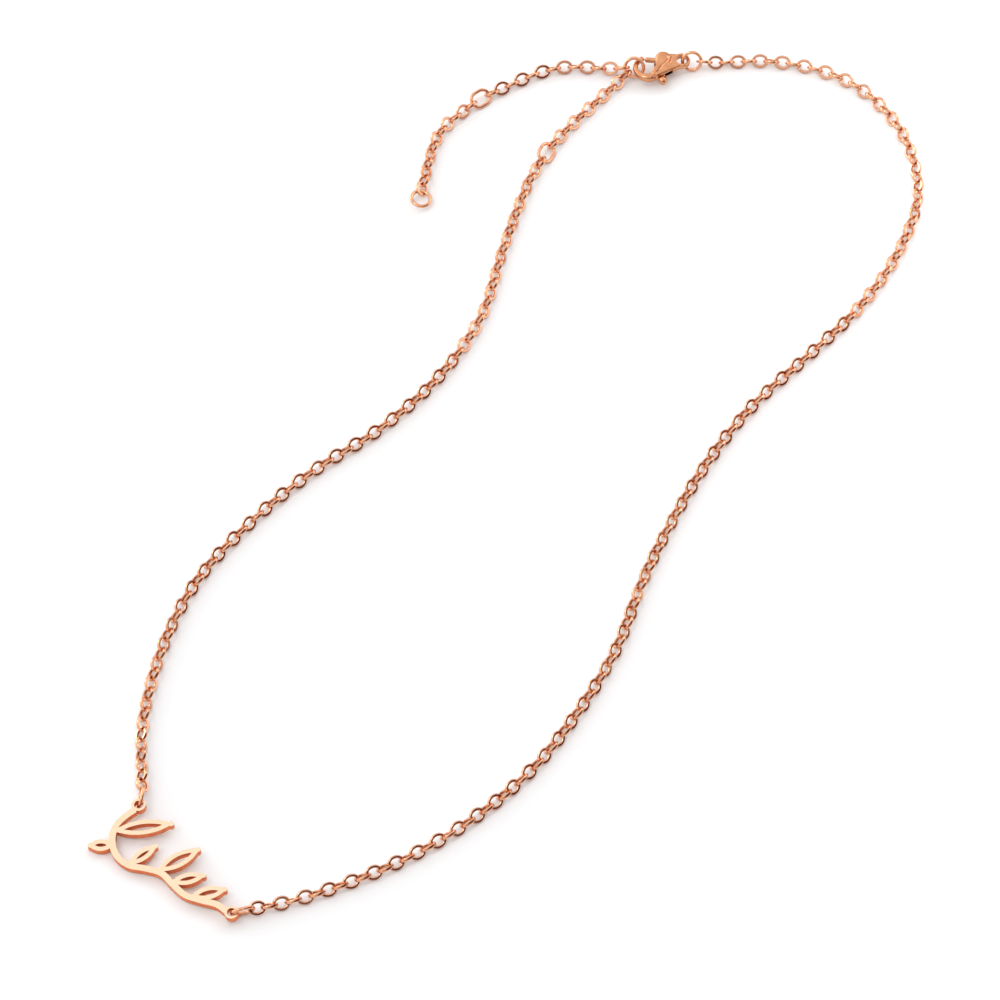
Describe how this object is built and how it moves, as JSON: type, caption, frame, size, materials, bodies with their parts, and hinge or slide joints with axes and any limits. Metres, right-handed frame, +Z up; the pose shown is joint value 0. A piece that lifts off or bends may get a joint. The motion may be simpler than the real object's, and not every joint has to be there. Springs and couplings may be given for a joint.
{
  "type": "nameplate necklace",
  "caption": "Fine link-chain necklace with a cut-out leafy metal plate between its two chain ends, a lobster clasp and an extender chain, lying as an open loop.",
  "frame": {"origin": "centre of the bounding box, on the surface that the necklace lies on", "axes": "+Z up from the surface; +Y from the plate towards the clasp, along the open loop; +X to the right, seen from above with the clasp at the back"},
  "size_m": [0.0786, 0.1869, 0.0033],
  "materials": {
    "plate": "polished, rose-gold plated",
    "chain": "polished flat facets, rose-gold plated",
    "rings": "polished round wire, rose-gold plated",
    "clasp": "polished casting, rose-gold plated"
  },
  "bodies": {
    "necklace": {"nameplate": "plate", "plate_ring_left": "rings", "plate_ring_right": "rings", "chain_left": "chain", "chain_joiner": "rings", "chain_left_top": "chain", "catch_ring": "rings", "clasp_body": "clasp", "clasp_pin": "clasp", "clasp_ring": "rings", "chain_right": "chain", "extender_chain": "chain", "extender_joiner": "rings", "extender_tail": "chain", "end_ring": "rings"},
    "lever": {"clasp_lever": "clasp"}
  },
  "joints": [
    {"name": "clasp_lever_hinge", "type": "hinge", "parent": "necklace", "child": "lever", "pos_m": [-0.0115, 0.0828, 0.0017], "axis": [0, 0, 1], "range_deg": [0, 25], "stiffness_Nm_per_rad": 0.001}
  ]
}
